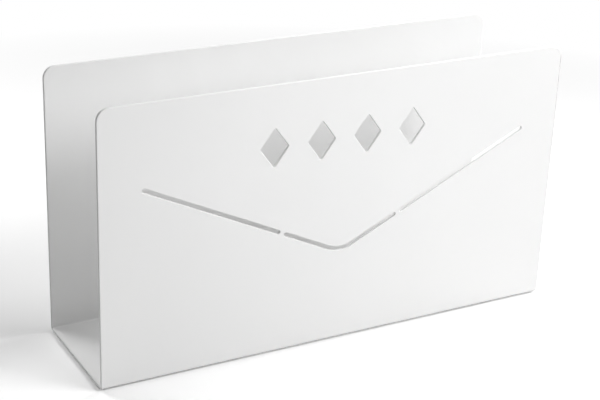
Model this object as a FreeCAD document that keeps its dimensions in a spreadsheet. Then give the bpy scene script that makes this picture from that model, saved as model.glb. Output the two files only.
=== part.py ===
"""Desk letter holder folded from one sheet of steel, standing on four thin anti-slip pads.

Frame: X along the width, front panel towards -Y, +Z up, origin under the middle of the
holder on the surface that it stands on. Millimetres and degrees.
"""
import FreeCAD, Part
import math
import os
import Sketcher

os.makedirs("parts", exist_ok=True)
doc = FreeCAD.newDocument("letter_holder")

# Driving dimensions: name, value, what it measures
DIMENSIONS = (
    ("body_width", 250.0, "length of the holder, end to end"),
    ("body_depth", 68.0, "over the outer faces of the two panels"),
    ("panel_height", 137.5, "underside of the fold to the top edges"),
    ("sheet_thickness", 1.5, "steel with its coat"),
    ("bend_radius", 1.0, "inside radius of both folds"),
    ("panel_corner_radius", 6.0, "top corners of both panels"),
    ("edge_radius", 0.5, "softening of the sheet's outline by deburring and coating"),
    ("edge_radius_share", 0.4, "largest share of the sheet that it may take"),
    ("fold_radius_share", 0.8, "largest share of the fold's inside radius that it may take"),
    ("slot_width", 2.1, "width of the flap line"),
    ("flap_slope", 25.3, "angle of the flap line to the level"),
    ("flap_side_margin", 22.0, "side edge of the panel to the end of the flap line"),
    ("flap_end_drop", 41.0, "top edge of the panel to the end of the flap line"),
    ("flap_point_radius", 14.0, "centre line of the flap line at its point"),
    ("bridge_offset", 32.3, "middle of the panel to the middle of each bridge"),
    ("bridge_width", 2.6, "steel left standing in each bridge"),
    ("cutout_width", 15.0, "lozenge, side to side"),
    ("cutout_height", 20.0, "lozenge, top to bottom"),
    ("cutout_corner_radius", 0.9, "corners of each lozenge"),
    ("cutout_pitch", 25.0, "from one lozenge to the next"),
    ("cutout_count", 4, "lozenges in the row"),
    ("cutout_drop", 20.5, "top edge of the panel to the tops of the lozenges"),
    ("pad_diameter", 10.0, "anti-slip pad"),
    ("pad_thickness", 0.5, "anti-slip pad, glued under the fold"),
    ("pad_rim", 0.15, "bevelled lower rim of the pad"),
    ("pad_rim_share", 0.4, "largest share of the pad's thickness that it may take"),
    ("pad_side_inset", 14.0, "side edge of the holder to the middle of a pad"),
    ("pad_panel_inset", 14.0, "outer face of a panel to the middle of a pad"),
)
size = {name: value for name, value, meaning in DIMENSIONS}

sheet = doc.addObject("Spreadsheet::Sheet", "dimensions")
for row, (name, value, meaning) in enumerate(DIMENSIONS, start=1):
    sheet.set("A%d" % row, name)
    sheet.set("B%d" % row, str(value))
    sheet.set("C%d" % row, meaning)
    sheet.setAlias("B%d" % row, name)
doc.recompute()

# Places on a sketch element and a sketch's own axes, each in Sketcher's order, and its origin
PLACES = ("whole", "start", "end", "centre")
AXES = ("horizontal axis", "vertical axis")
ORIGIN = ("horizontal axis", "start")

# Directions in a sketch, in degrees, and the smallest turn between two faces that is a sharp edge
UP_ANGLE = 90
LEFT_ANGLE = 180
DOWN_ANGLE = 270
RIGHT_ANGLE = 360
SHARP_ANGLE = 5


def cells(text):
    """An expression in which every $name stands for that cell of the sheet."""
    return text.replace("$", "dimensions.")


def origin_feature(body, role):
    """The plane or axis of a body's own origin that has this role."""
    return next(f for f in body.Origin.OriginFeatures if f.Role == role)


def sketch_on(body, plane, name):
    """An empty sketch on one of the body's origin planes."""
    sketch = body.newObject("Sketcher::SketchObject", name)
    sketch.AttachmentSupport = [(origin_feature(body, plane), "")]
    sketch.MapMode = "FlatFace"
    return sketch


def line(sketch, start, end):
    """A line between two points of the sketch."""
    points = (FreeCAD.Vector(start[0], start[1], 0), FreeCAD.Vector(end[0], end[1], 0))
    return sketch.addGeometry(Part.LineSegment(*points), False)


def arc(sketch, centre, radius, first, last):
    """An arc that runs anticlockwise between two angles in degrees."""
    circle = Part.Circle(FreeCAD.Vector(centre[0], centre[1], 0), FreeCAD.Vector(0, 0, 1), radius)
    ends = (math.radians(first), math.radians(last))
    return sketch.addGeometry(Part.ArcOfCircle(circle, *ends), False)


def sketcher_number(word):
    """Sketcher's number for an axis or for a place on an element; other numbers stay as they are."""
    if word in AXES:
        return -1 - AXES.index(word)
    return PLACES.index(word) if word in PLACES else word


def rule(sketch, kind, *places):
    """A constraint on elements of the sketch, each followed by the place on it that is meant."""
    numbers = [sketcher_number(place) for place in places]
    return sketch.addConstraint(Sketcher.Constraint(kind, *numbers))


def measure(sketch, name, expression, kind, *places):
    """A named constraint whose value follows the sheet."""
    index = rule(sketch, kind, *places)
    sketch.renameConstraint(index, name)
    sketch.setExpression("Constraints." + name, cells(expression))


def faces_turn(shape, edge):
    """Angle in degrees between the two faces that meet at the middle of an edge."""
    middle = edge.valueAt((edge.FirstParameter + edge.LastParameter) / 2)
    normals = []
    for face in shape.ancestorsOfType(edge, Part.Face):
        normals.append(face.normalAt(*face.Surface.parameter(middle)))
    if len(normals) != 2:
        return 0.0
    return math.degrees(normals[0].getAngle(normals[1]))


def sharp_edges(shape, wanted=None):
    """Names of the sharp edges of a shape, or of those that wanted() accepts."""
    names = []
    for number, edge in enumerate(shape.Edges, start=1):
        if faces_turn(shape, edge) > SHARP_ANGLE and (wanted is None or wanted(edge)):
            names.append("Edge%d" % number)
    return names


def crosses_panel(edge):
    """True for a straight edge square through one panel, and not for the ends of the floor."""
    run = edge.Vertexes[-1].Point - edge.Vertexes[0].Point
    along_y = abs(run.y) > run.Length * math.cos(math.radians(SHARP_ANGLE))
    return run.Length > 0 and along_y and edge.BoundBox.YMin * edge.BoundBox.YMax > 0


def round_edges(body, base, name, edges, radius):
    """A fillet on named edges, whose radius follows the sheet."""
    fillet = body.newObject("PartDesign::Fillet", name)
    fillet.Base = (base, edges)
    fillet.setExpression("Radius", cells(radius))
    doc.recompute()
    return fillet


def cut_front_panel(body, sketch, name):
    """A cut from the middle of the holder out through its front panel."""
    pocket = body.newObject("PartDesign::Pocket", name)
    pocket.Profile = sketch
    pocket.Type = "ThroughAll"
    pocket.Reversed = True
    doc.recompute()
    taken = pocket.BaseFeature.Shape.Volume - pocket.Shape.Volume
    outlined = Part.Face(sketch.Shape.Wires).Area * sheet.get("sheet_thickness")
    print("%s takes %.1f mm3, and its outline through the sheet holds %.1f" % (name, taken, outlined))
    return pocket


# Height of the top edges, far end of the flap line, and middle of a bridge to the end of a slot
TOP = "($pad_thickness + $panel_height)"
FLAP_END_X = "($body_width / 2 - $flap_side_margin)"
FLAP_END_Z = "(" + TOP + " - $flap_end_drop)"
BRIDGE_HALF = "(($bridge_width + $slot_width) / 2 * cos($flap_slope))"

# The softened outline, held to what the sheet and its folds can take
COAT_RADIUS = (
    "min($edge_radius; $sheet_thickness * $edge_radius_share; $bend_radius * $fold_radius_share)"
)


def fold_profile(body):
    """Section of the folded sheet: front panel, floor and back panel with their two bends."""
    depth, wall, inner = size["body_depth"], size["sheet_thickness"], size["bend_radius"]
    half, outer, low = depth / 2, inner + wall, size["pad_thickness"]
    top, bend_z, bend_y = low + size["panel_height"], low + outer, half - outer
    sketch = sketch_on(body, "YZ_Plane", "fold_profile")
    front_outer = line(sketch, (-half, top), (-half, bend_z))
    front_bend_outer = arc(sketch, (-bend_y, bend_z), outer, LEFT_ANGLE, DOWN_ANGLE)
    underside = line(sketch, (-bend_y, low), (bend_y, low))
    back_bend_outer = arc(sketch, (bend_y, bend_z), outer, DOWN_ANGLE, RIGHT_ANGLE)
    back_outer = line(sketch, (half, bend_z), (half, top))
    back_top = line(sketch, (half, top), (half - wall, top))
    back_inner = line(sketch, (half - wall, top), (half - wall, bend_z))
    back_bend_inner = arc(sketch, (bend_y, bend_z), inner, DOWN_ANGLE, RIGHT_ANGLE)
    floor_top = line(sketch, (bend_y, low + wall), (-bend_y, low + wall))
    front_bend_inner = arc(sketch, (-bend_y, bend_z), inner, LEFT_ANGLE, DOWN_ANGLE)
    front_inner = line(sketch, (-half + wall, bend_z), (-half + wall, top))
    front_top = line(sketch, (-half + wall, top), (-half, top))
    for first, first_end, second, second_end in (
        (front_outer, "end", front_bend_outer, "start"),
        (front_bend_outer, "end", underside, "start"),
        (underside, "end", back_bend_outer, "start"),
        (back_bend_outer, "end", back_outer, "start"),
        (back_inner, "end", back_bend_inner, "end"),
        (back_bend_inner, "start", floor_top, "start"),
        (floor_top, "end", front_bend_inner, "end"),
        (front_bend_inner, "start", front_inner, "start"),
    ):
        rule(sketch, "Tangent", first, first_end, second, second_end)
    for first, second in (
        (back_outer, back_top),
        (back_top, back_inner),
        (front_inner, front_top),
        (front_top, front_outer),
    ):
        rule(sketch, "Coincident", first, "end", second, "start")
    for upright in (front_outer, back_outer, back_inner, front_inner):
        rule(sketch, "Vertical", upright)
    for level in (underside, floor_top, back_top, front_top):
        rule(sketch, "Horizontal", level)
    rule(sketch, "Coincident", front_bend_outer, "centre", front_bend_inner, "centre")
    rule(sketch, "Coincident", back_bend_outer, "centre", back_bend_inner, "centre")
    rule(sketch, "Equal", front_bend_inner, back_bend_inner)
    rule(sketch, "Symmetric", front_outer, "start", back_outer, "end", "vertical axis")
    measure(sketch, "depth", "$body_depth", "DistanceX", front_outer, "start", back_outer, "end", depth)
    measure(sketch, "thickness", "$sheet_thickness", "Distance", front_top, wall)
    measure(sketch, "fold", "$bend_radius", "Radius", front_bend_inner, inner)
    measure(sketch, "lift", "$pad_thickness", "DistanceY", *ORIGIN, underside, "start", low)
    rise = size["panel_height"]
    measure(sketch, "rise", "$panel_height", "DistanceY", underside, "start", front_outer, "start", rise)
    return sketch


def flap_arm_profile(body):
    """Right arm of the flap line: a straight slot with round ends."""
    slope = size["flap_slope"]
    lean = math.radians(slope)
    half = size["slot_width"] / 2
    far = (size["body_width"] / 2 - size["flap_side_margin"],
           size["pad_thickness"] + size["panel_height"] - size["flap_end_drop"])
    near_x = size["bridge_offset"] + (size["bridge_width"] / 2 + half) * math.cos(lean)
    near = (near_x, far[1] - (far[0] - near_x) * math.tan(lean))
    side = (-half * math.sin(lean), half * math.cos(lean))
    sketch = sketch_on(body, "XZ_Plane", "flap_arm_profile")
    lower = line(sketch, (near[0] - side[0], near[1] - side[1]), (far[0] - side[0], far[1] - side[1]))
    far_end = arc(sketch, far, half, slope - UP_ANGLE, slope + UP_ANGLE)
    upper = line(sketch, (far[0] + side[0], far[1] + side[1]), (near[0] + side[0], near[1] + side[1]))
    near_end = arc(sketch, near, half, slope + UP_ANGLE, slope + DOWN_ANGLE)
    for first, second in ((lower, far_end), (far_end, upper), (upper, near_end), (near_end, lower)):
        rule(sketch, "Tangent", first, "end", second, "start")
    rule(sketch, "Equal", far_end, near_end)
    measure(sketch, "end_radius", "$slot_width / 2", "Radius", far_end, half)
    measure(sketch, "slope", "$flap_slope", "Angle", lower, lean)
    measure(sketch, "far_x", FLAP_END_X, "DistanceX", *ORIGIN, far_end, "centre", far[0])
    measure(sketch, "far_z", FLAP_END_Z, "DistanceY", *ORIGIN, far_end, "centre", far[1])
    near_rule = "$bridge_offset + " + BRIDGE_HALF
    measure(sketch, "near_x", near_rule, "DistanceX", *ORIGIN, near_end, "centre", near[0])
    return sketch


def flap_point_profile(body):
    """Middle of the flap line: a shallow V slot whose point is rounded."""
    slope = size["flap_slope"]
    lean = math.radians(slope)
    half = size["slot_width"] / 2
    bend = size["flap_point_radius"]
    far_x = size["body_width"] / 2 - size["flap_side_margin"]
    far_z = size["pad_thickness"] + size["panel_height"] - size["flap_end_drop"]
    end_x = size["bridge_offset"] - (size["bridge_width"] / 2 + half) * math.cos(lean)
    end_z = far_z - (far_x - end_x) * math.tan(lean)
    centre = (0, far_z - far_x * math.tan(lean) + bend / math.cos(lean))
    across = (math.sin(lean), math.cos(lean))

    def beside(point, distance, hand):
        """The point moved square to the right (1) or left (-1) arm, upwards if distance > 0."""
        return (point[0] - hand * across[0] * distance, point[1] + across[1] * distance)

    right, left = (end_x, end_z), (-end_x, end_z)
    sketch = sketch_on(body, "XZ_Plane", "flap_point_profile")
    lower_bend = arc(sketch, centre, bend + half, DOWN_ANGLE - slope, DOWN_ANGLE + slope)
    lower_right = line(sketch, beside(centre, -bend - half, 1), beside(right, -half, 1))
    right_end = arc(sketch, right, half, slope - UP_ANGLE, slope + UP_ANGLE)
    upper_right = line(sketch, beside(right, half, 1), beside(centre, half - bend, 1))
    upper_bend = arc(sketch, centre, bend - half, DOWN_ANGLE - slope, DOWN_ANGLE + slope)
    upper_left = line(sketch, beside(centre, half - bend, -1), beside(left, half, -1))
    left_end = arc(sketch, left, half, UP_ANGLE - slope, DOWN_ANGLE - slope)
    lower_left = line(sketch, beside(left, -half, -1), beside(centre, -bend - half, -1))
    for first, first_end, second, second_end in (
        (lower_bend, "end", lower_right, "start"),
        (lower_right, "end", right_end, "start"),
        (right_end, "end", upper_right, "start"),
        (upper_right, "end", upper_bend, "end"),
        (upper_bend, "start", upper_left, "start"),
        (upper_left, "end", left_end, "start"),
        (left_end, "end", lower_left, "start"),
        (lower_left, "end", lower_bend, "start"),
    ):
        rule(sketch, "Tangent", first, first_end, second, second_end)
    rule(sketch, "Coincident", lower_bend, "centre", upper_bend, "centre")
    rule(sketch, "PointOnObject", upper_bend, "centre", "vertical axis")
    rule(sketch, "Equal", right_end, left_end)
    rule(sketch, "Symmetric", left_end, "centre", right_end, "centre", "vertical axis")
    rule(sketch, "Parallel", lower_right, upper_right)
    measure(sketch, "end_radius", "$slot_width / 2", "Radius", right_end, half)
    point_rule = "$flap_point_radius - $slot_width / 2"
    measure(sketch, "point_radius", point_rule, "Radius", upper_bend, bend - half)
    measure(sketch, "slope", "$flap_slope", "Angle", lower_right, lean)
    end_rule = "($bridge_offset - " + BRIDGE_HALF + ")"
    measure(sketch, "end_x", end_rule, "DistanceX", *ORIGIN, right_end, "centre", end_x)
    height_rule = FLAP_END_Z + " - (" + FLAP_END_X + " - " + end_rule + ") * tan($flap_slope)"
    measure(sketch, "end_z", height_rule, "DistanceY", *ORIGIN, right_end, "centre", end_z)
    return sketch


def lozenge_profile(body):
    """First lozenge of the row above the flap line."""
    wide, high = size["cutout_width"] / 2, size["cutout_height"] / 2
    middle_x = -size["cutout_pitch"] * (size["cutout_count"] - 1) / 2
    top = size["pad_thickness"] + size["panel_height"] - size["cutout_drop"]
    middle_z = top - high
    sketch = sketch_on(body, "XZ_Plane", "lozenge_profile")
    corners = (
        (middle_x, middle_z - high),
        (middle_x + wide, middle_z),
        (middle_x, middle_z + high),
        (middle_x - wide, middle_z),
    )
    sides = [line(sketch, corners[i - 1], corners[i]) for i in range(len(corners))]
    for before, after in zip(sides[-1:] + sides[:-1], sides):
        rule(sketch, "Coincident", before, "end", after, "start")
    to_bottom, to_right, to_top, to_left = sides
    for side in sides[1:]:
        rule(sketch, "Equal", side, to_bottom)
    rule(sketch, "Vertical", to_bottom, "end", to_top, "end")
    measure(sketch, "height", "$cutout_height", "DistanceY", to_bottom, "end", to_top, "end", high * 2)
    measure(sketch, "width", "$cutout_width", "DistanceX", to_left, "end", to_right, "end", wide * 2)
    place = "$cutout_pitch * ($cutout_count - 1) / 2"
    measure(sketch, "middle", place, "DistanceX", to_top, "end", *ORIGIN, -middle_x)
    measure(sketch, "top", TOP + " - $cutout_drop", "DistanceY", *ORIGIN, to_top, "end", top)
    return sketch


def folded_body():
    """The folded sheet: two panels and a floor in one piece, with the front panel's cut-outs."""
    body = doc.addObject("PartDesign::Body", "folded_body")
    body.Label = "folded_body"
    fold = body.newObject("PartDesign::Pad", "folded_sheet")
    fold.Profile = fold_profile(body)
    fold.SideType = "Symmetric"
    fold.setExpression("Length", cells("$body_width"))
    doc.recompute()

    corner_edges = sharp_edges(fold.Shape, crosses_panel)
    corners = round_edges(body, fold, "panel_corners", corner_edges, "$panel_corner_radius")
    softened = round_edges(body, corners, "coated_edges", sharp_edges(corners.Shape), COAT_RADIUS)

    arm = cut_front_panel(body, flap_arm_profile(body), "flap_arm")
    arms = body.newObject("PartDesign::Mirrored", "flap_arms")
    arms.Originals = [arm]
    arms.MirrorPlane = (origin_feature(body, "YZ_Plane"), [""])
    body.Tip = arms
    doc.recompute()
    cut_front_panel(body, flap_point_profile(body), "flap_point")

    lozenge = cut_front_panel(body, lozenge_profile(body), "lozenge")
    row = body.newObject("PartDesign::LinearPattern", "lozenge_row")
    row.Originals = [lozenge]
    row.Direction = (origin_feature(body, "X_Axis"), [""])
    row.Mode = "Spacing"
    row.setExpression("Offset", cells("$cutout_pitch"))
    row.setExpression("Occurrences", cells("$cutout_count"))
    body.Tip = row
    doc.recompute()
    lozenge_edges = sharp_edges(row.Shape, crosses_panel)
    rounded = round_edges(body, row, "lozenge_corners", lozenge_edges, "$cutout_corner_radius")
    for feature in (fold, corners, softened, arms, row, rounded):
        print("%-16s leaves %.1f mm3" % (feature.Name, feature.Shape.Volume))
    return body


def foot_pad(name, side, end):
    """An anti-slip pad under the floor: side is -1 left or 1 right, end is -1 front or 1 rear."""
    body = doc.addObject("PartDesign::Body", name)
    body.Label = name
    sketch = sketch_on(body, "XY_Plane", name + "_outline")
    up = FreeCAD.Vector(0, 0, 1)
    disc = sketch.addGeometry(Part.Circle(FreeCAD.Vector(), up, size["pad_diameter"] / 2), False)
    rule(sketch, "Coincident", disc, "centre", *ORIGIN)
    measure(sketch, "diameter", "$pad_diameter", "Diameter", disc, size["pad_diameter"])
    pad = body.newObject("PartDesign::Pad", name + "_disc")
    pad.Profile = sketch
    pad.setExpression("Length", cells("$pad_thickness"))
    doc.recompute()
    middle_z = pad.Shape.BoundBox.Center.z
    low_edges = [n for n, e in enumerate(pad.Shape.Edges, start=1) if e.BoundBox.ZMax < middle_z]
    rim = body.newObject("PartDesign::Chamfer", name + "_rim")
    rim.Base = (pad, ["Edge%d" % n for n in low_edges])
    rim.setExpression("Size", cells("min($pad_rim; $pad_thickness * $pad_rim_share)"))
    x_rule = "$body_width / 2 - $pad_side_inset"
    y_rule = "$body_depth / 2 - $pad_panel_inset"
    body.setExpression("Placement.Base.x", cells("%d * (%s)" % (side, x_rule)))
    body.setExpression("Placement.Base.y", cells("%d * (%s)" % (end, y_rule)))
    return body


pieces = [folded_body()]
for end_name, end in (("front", -1), ("rear", 1)):
    for side_name, side in (("left", -1), ("right", 1)):
        pieces.append(foot_pad("foot_pad_%s_%s" % (end_name, side_name), side, end))
doc.recompute()

for item in doc.Objects:
    if "Invalid" in item.State or "Error" in item.State:
        raise RuntimeError("%s failed: %s" % (item.Label, item.State))
    if item.TypeId == "Sketcher::SketchObject" and item.solve() != 0:
        raise RuntimeError("%s doesn't solve" % item.Label)
for piece in pieces:
    if piece.Shape.isNull() or not piece.Shape.isValid() or len(piece.Shape.Solids) != 1:
        raise RuntimeError("%s has no sound solid" % piece.Label)
    piece.Shape.exportStep("parts/%s.step" % piece.Label)
    box = piece.Shape.BoundBox
    print("%-22s %8.1f mm3  x %.2f..%.2f  y %.2f..%.2f  z %.2f..%.2f" % (
        piece.Label, piece.Shape.Volume, box.XMin, box.XMax, box.YMin, box.YMax, box.ZMin, box.ZMax))
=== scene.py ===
"""Studio picture of a desk letter holder: one folded and powder-coated sheet on four pads.

Everything is in metres in the part's own frame: X along the width, the front panel towards
-Y, Z up from the surface that the holder stands on.
"""
import math

import bpy
from mathutils import Matrix, Vector


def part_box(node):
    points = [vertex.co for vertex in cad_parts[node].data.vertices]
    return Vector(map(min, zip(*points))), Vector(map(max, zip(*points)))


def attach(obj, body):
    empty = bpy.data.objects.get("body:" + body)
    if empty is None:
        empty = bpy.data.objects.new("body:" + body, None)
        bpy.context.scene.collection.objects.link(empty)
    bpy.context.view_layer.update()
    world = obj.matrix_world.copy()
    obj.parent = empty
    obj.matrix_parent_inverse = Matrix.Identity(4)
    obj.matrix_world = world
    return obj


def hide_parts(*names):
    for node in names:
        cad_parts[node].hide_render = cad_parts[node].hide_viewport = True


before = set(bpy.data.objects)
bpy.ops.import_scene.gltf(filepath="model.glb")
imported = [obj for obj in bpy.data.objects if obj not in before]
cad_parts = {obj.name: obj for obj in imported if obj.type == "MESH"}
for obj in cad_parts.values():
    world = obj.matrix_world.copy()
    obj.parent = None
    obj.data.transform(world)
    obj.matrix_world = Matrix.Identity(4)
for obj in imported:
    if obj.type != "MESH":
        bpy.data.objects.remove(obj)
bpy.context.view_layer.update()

MM = 0.001

# Lengths this close count as the same, and points of a cutter this close are merged
SAME_LENGTH = 0.01 * MM
SAME_POINT = 0.02 * MM

# The folded sheet, as the part's own dimensions give it
SHEET_THICKNESS = 1.5 * MM
OUTER_FOLD_RADIUS = 2.5 * MM
PANEL_CORNER_RADIUS = 6.0 * MM
FOLD_SEGMENTS = 10
CORNER_SEGMENTS = 12

# Its cut edges: how far deburring and the coat round them, the share of that which the cut-outs get,
# and the angle from which an edge counts as sharp
EDGE_ROUNDING = 0.65 * MM
CUT_OUT_ROUNDING_SHARE = 0.6
EDGE_SEGMENTS = 5
SHARP_ANGLE = math.radians(40)

# The flap line, whose point is on the middle of the panel
SLOT_WIDTH = 2.1 * MM
FLAP_SLOPE = math.radians(25.3)
FLAP_SIDE_MARGIN = 22.0 * MM
FLAP_END_DROP = 41.0 * MM
FLAP_POINT_RADIUS = 14.0 * MM
BRIDGE_OFFSET = 32.3 * MM
BRIDGE_WIDTH = 2.6 * MM
SLOT_END_SEGMENTS = 10
FLAP_POINT_SEGMENTS = 16

# The row of lozenges above it
LOZENGE_WIDTH = 15.0 * MM
LOZENGE_HEIGHT = 20.0 * MM
LOZENGE_CORNER_RADIUS = 0.9 * MM
LOZENGE_PITCH = 25.0 * MM
LOZENGE_COUNT = 4
LOZENGE_DROP = 20.5 * MM
LOZENGE_CORNER_SEGMENTS = 5

# How far the cutters start in front of the panel and how deep they reach, the width of the panel's
# margins, which are clear of cut-outs, and how far behind its face a point is still in the panel
CUTTER_CLEARANCE = 5.0 * MM
CUTTER_DEPTH = 15.0 * MM
PANEL_MARGIN = 10.0 * MM
PANEL_REACH = 2.5 * MM

# The anti-slip pads
PAD_NODES = ("foot_pad_front_left", "foot_pad_front_right", "foot_pad_rear_left", "foot_pad_rear_right")
PAD_SIDES = 96
PAD_ROUNDING = 0.12 * MM
PAD_ROUNDING_SEGMENTS = 3
PAD_LAND = 0.8 * MM
PAD_DISH = 0.06 * MM

# Noise lies mostly between these two values
GRAIN_LOW = 0.3
GRAIN_HIGH = 0.7

# The coat: the tones it drifts between, its roughness on the flats and folds and its share of
# mirrored light, and its orange peel. Scales are in cells per metre
COAT_TONES = ((0.870, 0.871, 0.869), (0.882, 0.882, 0.879))
COAT_DRIFT_SCALE = 14
COAT_GLOSSIEST = 0.07
COAT_HAZIEST = 0.1
COAT_HAZE_SCALE = 260
COAT_SHEEN = 0.5
PEEL_SCALE = 330
PEEL_HEIGHT = 0.01 * MM
PEEL_STRENGTH = 0.1

# Its thin dull film on cut edges, how far a normal leans where that starts and where it is complete,
# and the height above which a level face is a cut edge
CUT_EDGE_ROUGHNESS = 0.5
CUT_EDGE_SHEEN = 0.05
CUT_EDGE_START = 0.02
CUT_EDGE_COMPLETE = 0.3
FOLD_TOP = 6.0 * MM

# The pads' rubber
RUBBER_TONES = ((0.30, 0.30, 0.295), (0.38, 0.38, 0.37))
RUBBER_SPECKLE_SCALE = 700
RUBBER_ROUGHNESS = 0.85
RUBBER_SHEEN = 0.3
RUBBER_GRAIN_SCALE = 2600
RUBBER_GRAIN_HEIGHT = 0.03 * MM
RUBBER_GRAIN_STRENGTH = 0.6

# The photograph's camera: its turn, tilt and roll in radians, its place, and its focal length and
# sideways shift in pixels of a picture this wide
YAW = 0.489340
PITCH = 0.392923
ROLL = 0.026120
CAMERA_PLACE = Vector((-0.335222, -0.579733, 0.339083))
FOCAL_PIXELS = 1440.96
SHIFT_PIXELS = 40
IMAGE_WIDTH = 600
SENSOR_WIDTH_MM = 36
CAMERA_REACH = 50

# The studio: name, place, width, height and power in watts of each soft lamp, and where they all aim
SOFTBOXES = (
    ("softbox_front_right", (0.9, -0.8, 0.9), 0.7, 0.7, 13.15),
    ("softbox_front", (0.07, -0.38, 0.32), 0.2, 0.2, 0.594),
    ("softbox_right", (0.35, 0.0, 0.45), 0.2, 0.2, 1.49),
    ("softbox_behind_left", (-0.3, 0.45, 0.45), 0.3, 0.3, 2.26),
)
AIM = Vector((0, 0, 0.07))

# The floor: the white of the light that it gives back, the white that the eye sees beside the holder,
# and the distances between which that turns to plain white
FLOOR_SIZE = 8.0
FLOOR_CUTS = 3
FLOOR_TONE = 0.85
FLOOR_TONE_SEEN = 1.1
FLOOR_NEAR = 0.25
FLOOR_FAR = 0.55

# The narrow lamp below the floor, which lights only the underside: depth, length, width, spread and
# power in watts
LAMP_BELOW = (0.1, 0.238, 0.053, math.radians(5), 0.012)


def deselect_everything():
    """Leaves nothing selected, so that the next operator acts only on the piece being made."""
    bpy.ops.object.select_all(action="DESELECT")


def work_on(piece):
    """Makes a piece the only selected and active one."""
    deselect_everything()
    piece.select_set(True)
    bpy.context.view_layer.objects.active = piece


def place_in_mesh(piece):
    """Moves a piece's place and turn into its mesh."""
    work_on(piece)
    bpy.ops.object.transform_apply(location=True, rotation=True, scale=True)


def pick(piece, kind, wanted):
    """In edit mode, selects only the faces, edges or vertices that wanted() accepts."""
    bpy.ops.mesh.select_mode(type={"faces": "FACE", "edges": "EDGE", "verts": "VERT"}[kind])
    bpy.ops.mesh.select_all(action="DESELECT")
    bpy.ops.object.mode_set(mode="OBJECT")
    mesh = piece.data
    parts = {"faces": mesh.polygons, "edges": mesh.edges, "verts": mesh.vertices}[kind]
    for part in parts:
        corners = [part] if kind == "verts" else [mesh.vertices[i] for i in part.vertices]
        part.select = wanted([corner.co for corner in corners])
    bpy.ops.object.mode_set(mode="EDIT")


def near(value, target):
    """True for two lengths that are as good as the same."""
    return abs(value - target) < SAME_LENGTH


def finish_modifiers(piece):
    """Applies every modifier of a piece, first to last."""
    work_on(piece)
    for modifier in list(piece.modifiers):
        bpy.ops.object.modifier_apply(modifier=modifier.name)


def fold_sheet(low, high):
    """The folded sheet without its cut-outs: a floor, two panels and two round folds."""
    deselect_everything()
    bpy.ops.mesh.primitive_plane_add(size=1.0, location=(0, 0, low.z))
    sheet = bpy.context.object
    sheet.name = "folded_sheet"
    place_in_mesh(sheet)
    bpy.ops.object.mode_set(mode="EDIT")
    bpy.ops.mesh.select_all(action="SELECT")
    bpy.ops.transform.resize(value=(high.x - low.x, high.y - low.y, 1))
    bpy.ops.mesh.flip_normals()
    for edge_y in (low.y, high.y):
        pick(sheet, "edges", lambda ends: all(near(p.y, edge_y) and near(p.z, low.z) for p in ends))
        rise = (0, 0, high.z - low.z)
        bpy.ops.mesh.extrude_region_move(TRANSFORM_OT_translate={"value": rise})
    pick(sheet, "edges", lambda ends: all(near(p.z, low.z) for p in ends) and near(ends[0].y, ends[1].y))
    bpy.ops.mesh.bevel(offset=OUTER_FOLD_RADIUS, segments=FOLD_SEGMENTS, profile=0.5, affect="EDGES")
    pick(sheet, "verts", lambda point: near(point[0].z, high.z))
    bpy.ops.mesh.bevel(offset=PANEL_CORNER_RADIUS, segments=CORNER_SEGMENTS, profile=0.5, affect="VERTICES")
    bpy.ops.object.mode_set(mode="OBJECT")
    thickness = sheet.modifiers.new("sheet_thickness", "SOLIDIFY")
    thickness.thickness = SHEET_THICKNESS
    thickness.offset = -1
    thickness.use_even_offset = True
    finish_modifiers(sheet)
    return sheet


def slot_cutter(name, points):
    """A cutter through the front panel that follows a line, with round ends and a round bend."""
    half = SLOT_WIDTH / 2
    points = [
        points[0] + (points[0] - points[1]).normalized() * half,
        *points[1:-1],
        points[-1] + (points[-1] - points[-2]).normalized() * half,
    ]
    deselect_everything()
    bpy.ops.mesh.primitive_plane_add(size=1.0)
    cutter = bpy.context.object
    cutter.name = name
    bpy.ops.object.mode_set(mode="EDIT")
    bpy.ops.mesh.select_mode(type="VERT")
    bpy.ops.mesh.select_all(action="SELECT")
    bpy.ops.mesh.merge(type="CENTER")
    bpy.ops.transform.translate(value=points[0])
    for start, end in zip(points, points[1:]):
        bpy.ops.mesh.extrude_region_move(TRANSFORM_OT_translate={"value": end - start})
    bpy.ops.mesh.select_all(action="SELECT")
    bpy.ops.mesh.extrude_region_move(TRANSFORM_OT_translate={"value": (0, CUTTER_DEPTH, 0)})
    if len(points) > 2:
        pick(cutter, "edges", lambda ends: near(ends[0].x, points[1].x) and near(ends[1].x, points[1].x))
        reach = FLAP_POINT_RADIUS * math.tan(FLAP_SLOPE)
        bpy.ops.mesh.bevel(offset=reach, segments=FLAP_POINT_SEGMENTS, profile=0.5, affect="EDGES")
    bpy.ops.object.mode_set(mode="OBJECT")
    width = cutter.modifiers.new("slot_width", "SOLIDIFY")
    width.thickness = SLOT_WIDTH
    width.offset = 0
    width.use_even_offset = True
    finish_modifiers(cutter)
    bpy.ops.object.mode_set(mode="EDIT")

    def runs_through_an_end(ends):
        """True for an edge square to the panel at either end of the slot."""
        if not (near(ends[0].x, ends[1].x) and near(ends[0].z, ends[1].z)):
            return False
        return any(
            math.hypot(ends[0].x - point.x, ends[0].z - point.z) < SLOT_WIDTH
            for point in (points[0], points[-1])
        )

    pick(cutter, "edges", runs_through_an_end)
    bpy.ops.mesh.bevel(offset=half, segments=SLOT_END_SEGMENTS, profile=0.5, affect="EDGES")
    bpy.ops.mesh.select_all(action="SELECT")
    bpy.ops.mesh.remove_doubles(threshold=SAME_POINT)
    bpy.ops.mesh.normals_make_consistent(inside=False)
    bpy.ops.object.mode_set(mode="OBJECT")
    return cutter


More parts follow.
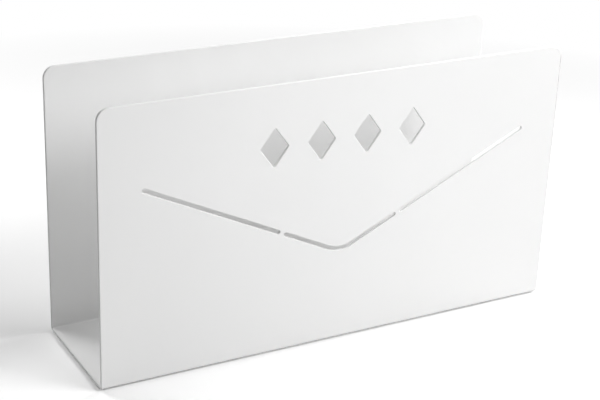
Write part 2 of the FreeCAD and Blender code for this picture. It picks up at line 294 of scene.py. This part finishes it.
def flap_line_cutters(low, high):
    """Cutters for the flap line: two arms, and between their bridges the round point."""
    front = low.y - CUTTER_CLEARANCE
    far_x = high.x - FLAP_SIDE_MARGIN
    far_z = high.z - FLAP_END_DROP
    bridge_half = (BRIDGE_WIDTH + SLOT_WIDTH) / 2 * math.cos(FLAP_SLOPE)

    def on_line(x):
        """The point of the flap line's middle at this distance from the middle of the panel."""
        return Vector((x, front, far_z - (far_x - abs(x)) * math.tan(FLAP_SLOPE)))

    inner, outer = BRIDGE_OFFSET - bridge_half, BRIDGE_OFFSET + bridge_half
    return [
        slot_cutter("cutter_left_arm", [on_line(-far_x), on_line(-outer)]),
        slot_cutter("cutter_point", [on_line(-inner), on_line(0), on_line(inner)]),
        slot_cutter("cutter_right_arm", [on_line(outer), on_line(far_x)]),
    ]


def lozenge_cutters(low, high):
    """Cutters for the row of lozenges, modelled once and copied along it."""
    first_x = -LOZENGE_PITCH * (LOZENGE_COUNT - 1) / 2
    middle_z = high.z - LOZENGE_DROP - LOZENGE_HEIGHT / 2
    middle = (first_x, low.y - CUTTER_CLEARANCE + CUTTER_DEPTH / 2, middle_z)
    deselect_everything()
    bpy.ops.mesh.primitive_cylinder_add(
        vertices=4, radius=0.5, depth=CUTTER_DEPTH, location=middle, rotation=(math.radians(90), 0, 0)
    )
    first = bpy.context.object
    first.name = "cutter_lozenge"
    first.scale = (LOZENGE_WIDTH, LOZENGE_HEIGHT, 1)
    place_in_mesh(first)
    bpy.ops.object.mode_set(mode="EDIT")
    shapes = (
        (lambda p: near(p.x, middle[0]), LOZENGE_HEIGHT / LOZENGE_WIDTH),
        (lambda p: near(p.z, middle[2]), LOZENGE_WIDTH / LOZENGE_HEIGHT),
    )
    for on_corner, reach in shapes:
        pick(first, "edges", lambda ends: all(map(on_corner, ends)) and not near(ends[0].y, ends[1].y))
        bpy.ops.mesh.bevel(
            offset=LOZENGE_CORNER_RADIUS * reach,
            segments=LOZENGE_CORNER_SEGMENTS,
            profile=0.5,
            affect="EDGES",
        )
    bpy.ops.object.mode_set(mode="OBJECT")
    row = [first]
    for _ in range(LOZENGE_COUNT - 1):
        work_on(row[-1])
        bpy.ops.object.duplicate_move(TRANSFORM_OT_translate={"value": (LOZENGE_PITCH, 0, 0)})
        row.append(bpy.context.object)
        place_in_mesh(row[-1])
    return row


def cut_front_panel(sheet, cutters):
    """Takes all the cutters out of the sheet in one go, and deletes them."""
    work_on(cutters[0])
    for cutter in cutters[1:]:
        cutter.select_set(True)
    bpy.ops.object.join()
    tool = bpy.context.object
    cut = sheet.modifiers.new("cut_outs", "BOOLEAN")
    cut.operation = "DIFFERENCE"
    cut.solver = "EXACT"
    cut.object = tool
    finish_modifiers(sheet)
    work_on(tool)
    bpy.ops.object.delete()


def soften_edges(sheet, low, high):
    """Rounds every cut edge as deburring and the coat leave it, and keeps the flats flat."""

    def in_cut_outs(point):
        """True for a point of the front panel between its margins, where all the cut-outs are."""
        clear_of_ends = abs(point.x) < high.x - PANEL_MARGIN
        clear_of_rims = PANEL_MARGIN < point.z < high.z - PANEL_MARGIN
        return clear_of_ends and clear_of_rims and point.y < low.y + PANEL_REACH

    work_on(sheet)
    bpy.ops.object.mode_set(mode="EDIT")
    bpy.ops.mesh.select_all(action="SELECT")
    bpy.ops.mesh.remove_doubles(threshold=SAME_LENGTH)
    bpy.ops.mesh.select_mode(type="EDGE")
    bpy.ops.mesh.select_all(action="DESELECT")
    bpy.ops.mesh.edges_select_sharp(sharpness=SHARP_ANGLE)
    bpy.ops.transform.edge_bevelweight(value=1)
    pick(sheet, "edges", lambda ends: all(in_cut_outs(point) for point in ends))
    bpy.ops.transform.edge_bevelweight(value=CUT_OUT_ROUNDING_SHARE - 1)
    bpy.ops.object.mode_set(mode="OBJECT")
    bpy.ops.object.shade_smooth()
    rounding = sheet.modifiers.new("edge_rounding", "BEVEL")
    rounding.width = EDGE_ROUNDING
    rounding.segments = EDGE_SEGMENTS
    rounding.limit_method = "WEIGHT"
    rounding.harden_normals = True
    finish_modifiers(sheet)


def stick_on_pad(low, high):
    """An anti-slip pad: a disc with a rounded lower rim and a shallow dished face."""
    deselect_everything()
    radius = (high.x - low.x) / 2
    bpy.ops.mesh.primitive_cylinder_add(
        vertices=PAD_SIDES, radius=radius, depth=high.z - low.z, location=(low + high) / 2
    )
    pad = bpy.context.object
    pad.name = "stick_on_pad"
    place_in_mesh(pad)
    bpy.ops.object.mode_set(mode="EDIT")
    pick(pad, "faces", lambda corners: all(near(p.z, low.z) for p in corners))
    bpy.ops.mesh.bevel(
        offset=PAD_ROUNDING, segments=PAD_ROUNDING_SEGMENTS, profile=0.5, affect="EDGES"
    )
    pick(pad, "faces", lambda corners: all(near(p.z, low.z) for p in corners))
    bpy.ops.mesh.inset(thickness=PAD_LAND)
    bpy.ops.mesh.inset(thickness=PAD_DISH)
    bpy.ops.transform.translate(value=(0, 0, PAD_DISH))
    bpy.ops.object.mode_set(mode="OBJECT")
    bpy.ops.object.shade_smooth_by_angle(angle=SHARP_ANGLE)
    return pad


def new_material(name):
    """An empty node material, its node tree and its shader."""
    material = bpy.data.materials.new(name)
    material.use_nodes = True
    return material, material.node_tree, material.node_tree.nodes["Principled BSDF"]


def feed(tree, socket, value):
    """Sets a number on a socket, or links another node's output to it."""
    if isinstance(value, (int, float)):
        socket.default_value = value
    else:
        tree.links.new(value, socket)


def calculate(tree, operation, *values):
    """The outcome of a Math node."""
    node = tree.nodes.new("ShaderNodeMath")
    node.operation = operation
    for socket, value in zip(node.inputs, values):
        feed(tree, socket, value)
    return node.outputs["Value"]


def run_between(tree, source, first, second, start=0, end=1):
    """A value that runs from the first to the second while the source runs from start to end."""
    node = tree.nodes.new("ShaderNodeMapRange")
    values = {"Value": source, "From Min": start, "From Max": end, "To Min": first, "To Max": second}
    for name, value in values.items():
        feed(tree, node.inputs[name], value)
    return node.outputs["Result"]


def place_on_piece(tree):
    """Texture coordinates, whose Object output is fixed to the piece."""
    return tree.nodes.new("ShaderNodeTexCoord")


def grain(tree, scale, detail):
    """Noise that is fixed to the piece, in cells per metre."""
    noise = tree.nodes.new("ShaderNodeTexNoise")
    noise.inputs["Scale"].default_value = scale
    noise.inputs["Detail"].default_value = detail
    tree.links.new(place_on_piece(tree).outputs["Object"], noise.inputs["Vector"])
    return noise.outputs["Fac"]


def blend_colours(tree, source, tones):
    """A colour that runs from the first tone to the second with the grain."""
    ramp = tree.nodes.new("ShaderNodeValToRGB")
    for element, position, tone in zip(ramp.color_ramp.elements, (GRAIN_LOW, GRAIN_HIGH), tones):
        element.position = position
        element.color = (*tone, 1)
    tree.links.new(source, ramp.inputs["Fac"])
    return ramp.outputs["Color"]


def raise_surface(tree, shader, source, height, strength):
    """Bumps of this height in the shader's surface."""
    bump = tree.nodes.new("ShaderNodeBump")
    bump.inputs["Distance"].default_value = height
    bump.inputs["Strength"].default_value = strength
    tree.links.new(source, bump.inputs["Height"])
    tree.links.new(bump.outputs["Normal"], shader.inputs["Normal"])


def split(tree, vector):
    """The X, Y and Z of a vector."""
    node = tree.nodes.new("ShaderNodeSeparateXYZ")
    tree.links.new(vector, node.inputs["Vector"])
    return node.outputs


def towards_cut_edges(tree):
    """0 on the flats and folds, and 1 on cut edges and cut-outs, where the coat is thin and dull."""
    place = place_on_piece(tree)
    facing = split(tree, place.outputs["Normal"])
    where = split(tree, place.outputs["Object"])
    sideways = calculate(tree, "ABSOLUTE", facing["X"])
    above_fold = calculate(tree, "GREATER_THAN", where["Z"], FOLD_TOP)
    level = calculate(tree, "ABSOLUTE", facing["Z"])
    lean = calculate(tree, "ADD", sideways, calculate(tree, "MULTIPLY", above_fold, level))
    return run_between(tree, lean, 0, 1, CUT_EDGE_START, CUT_EDGE_COMPLETE)


def white_powder_coat():
    """Cured white powder: a glossy film with a faint orange peel, thin and dull on cut edges."""
    material, tree, shader = new_material("white_powder_coat")
    tone = blend_colours(tree, grain(tree, COAT_DRIFT_SCALE, detail=2), COAT_TONES)
    tree.links.new(tone, shader.inputs["Base Color"])
    edge = towards_cut_edges(tree)
    cells = grain(tree, COAT_HAZE_SCALE, detail=1)
    haze = run_between(tree, cells, COAT_GLOSSIEST, COAT_HAZIEST, GRAIN_LOW, GRAIN_HIGH)
    feed(tree, shader.inputs["Roughness"], run_between(tree, edge, haze, CUT_EDGE_ROUGHNESS))
    sheen = run_between(tree, edge, COAT_SHEEN, CUT_EDGE_SHEEN)
    feed(tree, shader.inputs["Specular IOR Level"], sheen)
    raise_surface(tree, shader, grain(tree, PEEL_SCALE, detail=0), PEEL_HEIGHT, PEEL_STRENGTH)
    return material


def pad_rubber():
    """Grey anti-slip rubber: matt, with a fine moulded grain."""
    material, tree, shader = new_material("grey_pad_rubber")
    tone = blend_colours(tree, grain(tree, RUBBER_SPECKLE_SCALE, detail=4), RUBBER_TONES)
    tree.links.new(tone, shader.inputs["Base Color"])
    shader.inputs["Roughness"].default_value = RUBBER_ROUGHNESS
    shader.inputs["Specular IOR Level"].default_value = RUBBER_SHEEN
    cells = grain(tree, RUBBER_GRAIN_SCALE, detail=3)
    raise_surface(tree, shader, cells, RUBBER_GRAIN_HEIGHT, RUBBER_GRAIN_STRENGTH)
    return material


def largest(tree, sources):
    """The largest of several values."""
    total = sources[0]
    for source in sources[1:]:
        total = calculate(tree, "MAXIMUM", total, source)
    return total


def seen_directly(tree):
    """1 where the camera, a reflection or clear glass looks at the surface, and 0 for its light."""
    path = tree.nodes.new("ShaderNodeLightPath")
    kinds = ("Is Camera Ray", "Is Glossy Ray", "Is Transmission Ray")
    return largest(tree, [path.outputs[kind] for kind in kinds])


def seen_or_lit(tree, lit, seen):
    """One value for the light that a surface gives, and another for where it is seen."""
    return run_between(tree, seen_directly(tree), lit, seen)


def far_and_seen(tree):
    """How much of the floor is seen as plain white: none beside the holder, and all far from it."""
    distance = tree.nodes.new("ShaderNodeVectorMath")
    distance.operation = "LENGTH"
    tree.links.new(place_on_piece(tree).outputs["Object"], distance.inputs[0])
    far = run_between(tree, distance.outputs["Value"], 0, 1, FLOOR_NEAR, FLOOR_FAR)
    return calculate(tree, "MULTIPLY", far, seen_directly(tree))


def blend_shaders(tree, source, first, second):
    """The first shader where the source is 0 and the second where it is 1."""
    blend = tree.nodes.new("ShaderNodeMixShader")
    tree.links.new(source, blend.inputs["Fac"])
    tree.links.new(first, blend.inputs[1])
    tree.links.new(second, blend.inputs[2])
    return blend.outputs["Shader"]


def studio_floor():
    """A wide white floor that keeps the holder's shadow, and lets sight and light through from below."""
    deselect_everything()
    bpy.ops.mesh.primitive_plane_add(size=FLOOR_SIZE)
    floor = bpy.context.object
    floor.name = "studio_floor"
    bpy.ops.object.mode_set(mode="EDIT")
    bpy.ops.mesh.subdivide(number_cuts=FLOOR_CUTS)
    bpy.ops.object.mode_set(mode="OBJECT")
    material = bpy.data.materials.new("studio_white")
    material.use_nodes = True
    tree = material.node_tree
    tree.nodes.clear()
    matt = tree.nodes.new("ShaderNodeBsdfDiffuse")
    tree.links.new(seen_or_lit(tree, FLOOR_TONE, FLOOR_TONE_SEEN), matt.inputs["Color"])
    plain = tree.nodes.new("ShaderNodeEmission")
    upper = blend_shaders(tree, far_and_seen(tree), matt.outputs["BSDF"], plain.outputs["Emission"])
    side = tree.nodes.new("ShaderNodeNewGeometry")
    path = tree.nodes.new("ShaderNodeLightPath")
    open_to = largest(tree, [side.outputs["Backfacing"], path.outputs["Is Shadow Ray"]])
    clear = tree.nodes.new("ShaderNodeBsdfTransparent")
    both = blend_shaders(tree, open_to, upper, clear.outputs["BSDF"])
    output = tree.nodes.new("ShaderNodeOutputMaterial")
    tree.links.new(both, output.inputs["Surface"])
    floor.data.materials.append(material)
    return floor


def white_surroundings():
    """Plain white wherever the camera looks past the floor. All light comes from the lamps."""
    world = bpy.data.worlds.new("white_studio")
    bpy.context.scene.world = world
    world.use_nodes = True
    tree = world.node_tree
    background = tree.nodes["Background"]
    background.inputs["Color"].default_value = (1, 1, 1, 1)
    tree.links.new(seen_or_lit(tree, 0, 1), background.inputs["Strength"])


def softbox(name, place, width, height, power):
    """A soft lamp of this size, turned to the middle of the holder and itself out of sight."""
    deselect_everything()
    turn = (AIM - Vector(place)).to_track_quat("-Z", "Y")
    bpy.ops.object.light_add(type="AREA", location=place, rotation=turn.to_euler())
    lamp = bpy.context.object
    lamp.name = name
    lamp.visible_camera = False
    lamp.visible_glossy = False
    lamp.data.shape = "RECTANGLE"
    lamp.data.size = width
    lamp.data.size_y = height
    lamp.data.energy = power
    return lamp


def camera_as_photographed():
    """The camera where the photograph was taken from, turned, tilted and rolled as it was."""
    ahead = Vector((math.sin(YAW) * math.cos(PITCH), math.cos(YAW) * math.cos(PITCH), -math.sin(PITCH)))
    level = Vector((math.cos(YAW), -math.sin(YAW), 0))
    upward = level.cross(ahead)
    across = level * math.cos(ROLL) + upward * math.sin(ROLL)
    over = -level * math.sin(ROLL) + upward * math.cos(ROLL)
    deselect_everything()
    bpy.ops.object.camera_add()
    camera = bpy.context.object
    camera.name = "camera"
    turn = Matrix((across, over, -ahead)).transposed()
    camera.matrix_world = Matrix.Translation(CAMERA_PLACE) @ turn.to_4x4()
    camera.data.sensor_width = SENSOR_WIDTH_MM
    camera.data.lens = FOCAL_PIXELS / IMAGE_WIDTH * SENSOR_WIDTH_MM
    camera.data.shift_x = SHIFT_PIXELS / IMAGE_WIDTH
    camera.data.clip_end = CAMERA_REACH
    bpy.context.scene.camera = camera


low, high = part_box("folded_body")
sheet = fold_sheet(low, high)
cut_front_panel(sheet, flap_line_cutters(low, high) + lozenge_cutters(low, high))
soften_edges(sheet, low, high)
sheet.data.materials.append(white_powder_coat())
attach(sheet, "root")
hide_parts("folded_body")

rubber = pad_rubber()
first_low, first_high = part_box(PAD_NODES[0])
first_pad = stick_on_pad(first_low, first_high)
for node in PAD_NODES:
    pad_low, pad_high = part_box(node)
    work_on(first_pad)
    bpy.ops.object.duplicate_move(TRANSFORM_OT_translate={"value": pad_low - first_low})
    pad = bpy.context.object
    pad.name = node.replace("foot_pad", "stick_on_pad")
    place_in_mesh(pad)
    pad.data.materials.append(rubber)
    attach(pad, "root")
    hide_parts(node)
work_on(first_pad)
bpy.ops.object.delete()

studio_floor()
white_surroundings()
for name, place, width, height, power in SOFTBOXES:
    softbox(name, place, width, height, power)
depth, length, width, spread, power = LAMP_BELOW
softbox("softbox_below", (0, 0, -depth), length, width, power).data.spread = spread
camera_as_photographed()

scene = bpy.context.scene
scene.view_settings.view_transform = "Standard"
